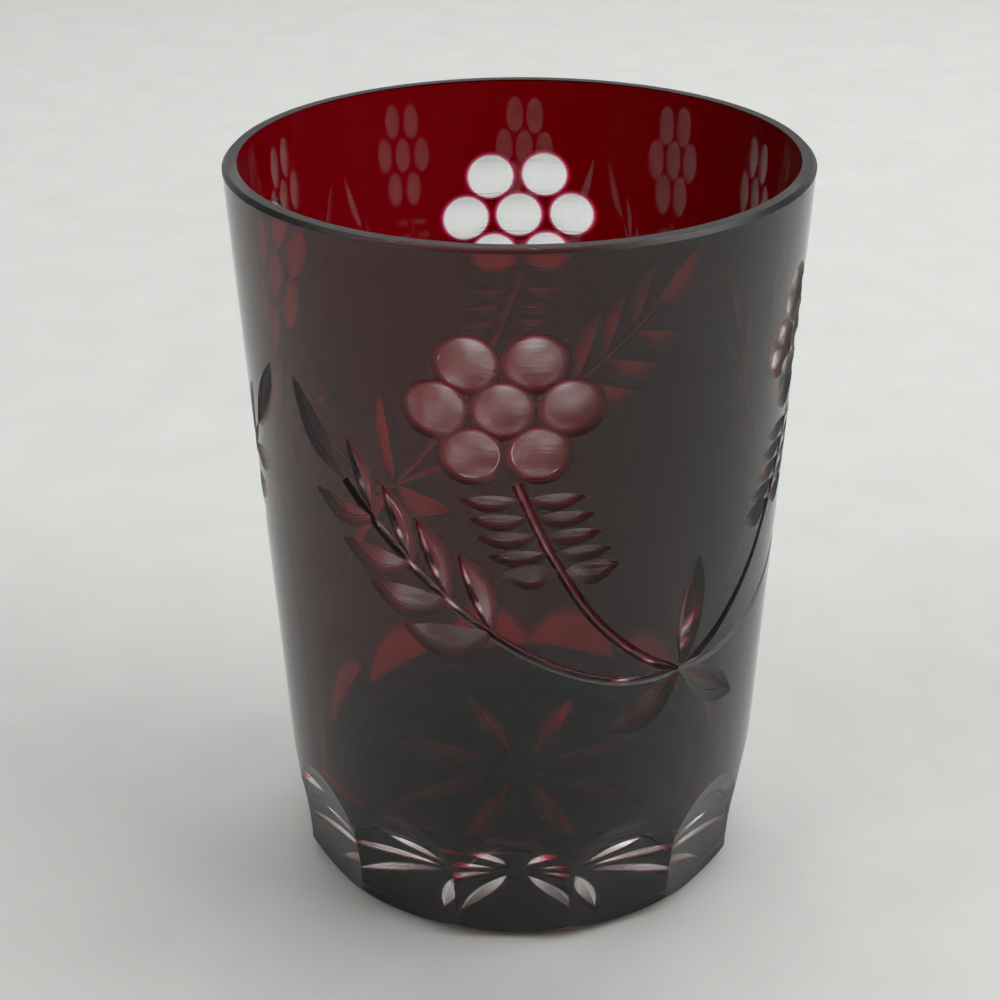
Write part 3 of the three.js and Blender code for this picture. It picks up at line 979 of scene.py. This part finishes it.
def pale_sheet(studio):
    """The floor, a pale sheet with a faint uneven tone and grain."""
    bpy.ops.object.select_all(action="DESELECT")
    bpy.ops.mesh.primitive_plane_add(size=SHEET_SIZE, location=(0, 0, 0))
    sheet = bpy.context.object
    sheet.name = "pale_sheet"
    material, nodes, links, shader = new_material("pale_sheet")
    place = new_node(nodes, "TexCoord")
    weave = new_node(nodes, "TexNoise", {"Scale": 60, "Detail": 6})
    tone = nodes.new("ShaderNodeMix")
    tone.data_type = "RGBA"
    # Sockets 6 and 7 hold the darker and the lighter colour, and output 2 the mixed one
    for socket, level in ((6, 0.93), (7, 1.06)):
        tone.inputs[socket].default_value = (*(level * part for part in studio.floor), 1)
    grain = new_node(nodes, "Bump", {"Distance": 0.0005})
    links.new(place.outputs["Object"], weave.inputs["Vector"])
    links.new(weave.outputs["Fac"], tone.inputs[0])
    links.new(weave.outputs["Fac"], grain.inputs["Height"])
    links.new(tone.outputs[2], shader.inputs["Base Color"])
    links.new(grain.outputs["Normal"], shader.inputs["Normal"])
    set_node(shader, {"Roughness": 0.8, "Specular IOR Level": 0.1})
    sheet.data.materials.append(material)


def room(scene, studio):
    """Surroundings: pale to a little over the horizon, dim above that, and a little light from overhead."""
    world = bpy.data.worlds.new("room")
    scene.world = world
    world.use_nodes = True
    nodes, links = world.node_tree.nodes, world.node_tree.links
    place, parts = new_node(nodes, "TexCoord"), new_node(nodes, "SeparateXYZ")
    ramp = new_node(nodes, "ValToRGB")
    stops = ramp.color_ramp.elements
    stops[0].position, stops[0].color = ROOM_PALE_TO, (*studio.surround, 1)
    stops.remove(stops[1])
    for position, level in ROOM_LEVELS:
        stops.new(position).color = (level, level, level, 1)
    links.new(place.outputs["Generated"], parts.inputs["Vector"])
    links.new(parts.outputs["Z"], ramp.inputs["Fac"])
    links.new(ramp.outputs["Color"], nodes["Background"].inputs["Color"])


def lamps(form, studio):
    """Soft lamps turned to the middle of the glass."""
    middle = Vector((0, 0, form.height / 2))
    for name, place, power in LAMPS:
        bpy.ops.object.light_add(type="AREA", location=place)
        lamp = bpy.context.object
        lamp.name = name
        lamp.data.shape = "RECTANGLE"
        lamp.data.size, lamp.data.size_y = LAMP_SIZE
        lamp.data.energy = getattr(studio, power)
        lamp.rotation_euler = (middle - lamp.location).to_track_quat("-Z", "Y").to_euler()


def camera(scene, form, studio):
    """Camera at the photograph's place, shifted to its framing."""
    bpy.ops.object.camera_add()
    taken_from = bpy.context.object
    lens = taken_from.data
    lens.sensor_width = 36
    lens.lens = studio.lens
    lens.shift_x, lens.shift_y = LENS_SHIFT
    lens.clip_start, lens.clip_end = 0.01, 30
    back = Vector((0, -cos(studio.elevation), sin(studio.elevation)))
    taken_from.location = Vector((0, 0, form.height / 2)) + back * studio.distance
    tilt = Matrix.Rotation(pi / 2 - studio.elevation, 3, "X")
    taken_from.rotation_euler = (tilt @ Matrix.Rotation(studio.roll, 3, "Z")).to_euler()
    scene.camera = taken_from


class TUMBLER_OT_studio(bpy.types.Operator):
    """Set out the pale sheet, the surroundings, the lamps and the camera"""

    bl_idname = "tumbler.studio"
    bl_label = "Studio"

    def execute(self, context):
        scene = context.scene
        form, studio = scene.tumbler_form, scene.tumbler_studio
        pale_sheet(studio)
        room(scene, studio)
        lamps(form, studio)
        camera(scene, form, studio)
        scene.view_settings.view_transform = "Standard"
        scene.cycles.max_bounces = BOUNCES
        scene.cycles.transmission_bounces = BOUNCES
        scene.cycles.transparent_max_bounces = BOUNCES
        scene.cycles.glossy_bounces = GLOSSY_BOUNCES
        return {"FINISHED"}


class TUMBLER_PT_sidebar(bpy.types.Panel):
    """Sizes, cuts, glass and studio of the tumbler"""

    bl_idname = "TUMBLER_PT_sidebar"
    bl_label = "Cut Glass Tumbler"
    bl_space_type = "VIEW_3D"
    bl_region_type = "UI"
    bl_category = "Tumbler"

    def draw(self, context):
        layout = self.layout
        for step in STEPS:
            layout.operator(step.bl_idname)
        for setting, _ in GROUPS:
            box, group = layout.box(), getattr(context.scene, setting)
            for name in group.bl_rna.properties.keys():
                if name not in {"rna_type", "name"}:
                    box.prop(group, name)


STEPS = (TUMBLER_OT_cut_blank, TUMBLER_OT_clear_body, TUMBLER_OT_ruby_pieces, TUMBLER_OT_studio)
GROUPS = (
    ("tumbler_form", TumblerForm),
    ("tumbler_pattern", CutPattern),
    ("tumbler_glass", GlassLook),
    ("tumbler_studio", StudioLook),
)


def register():
    """Adds the settings, the operators and the panel."""
    for name, group in GROUPS:
        bpy.utils.register_class(group)
        setattr(bpy.types.Scene, name, PointerProperty(type=group))
    for item in (*STEPS, TUMBLER_PT_sidebar):
        bpy.utils.register_class(item)


def unregister():
    """Takes them away again, last first."""
    for item in (TUMBLER_PT_sidebar, *reversed(STEPS)):
        bpy.utils.unregister_class(item)
    for name, group in reversed(GROUPS):
        delattr(bpy.types.Scene, name)
        bpy.utils.unregister_class(group)


def main():
    """Builds the tumbler step by step."""
    register()
    bpy.ops.tumbler.cut_blank()
    bpy.ops.tumbler.clear_body()
    bpy.ops.tumbler.ruby_pieces()
    bpy.ops.tumbler.studio()


if __name__ == "__main__":
    main()
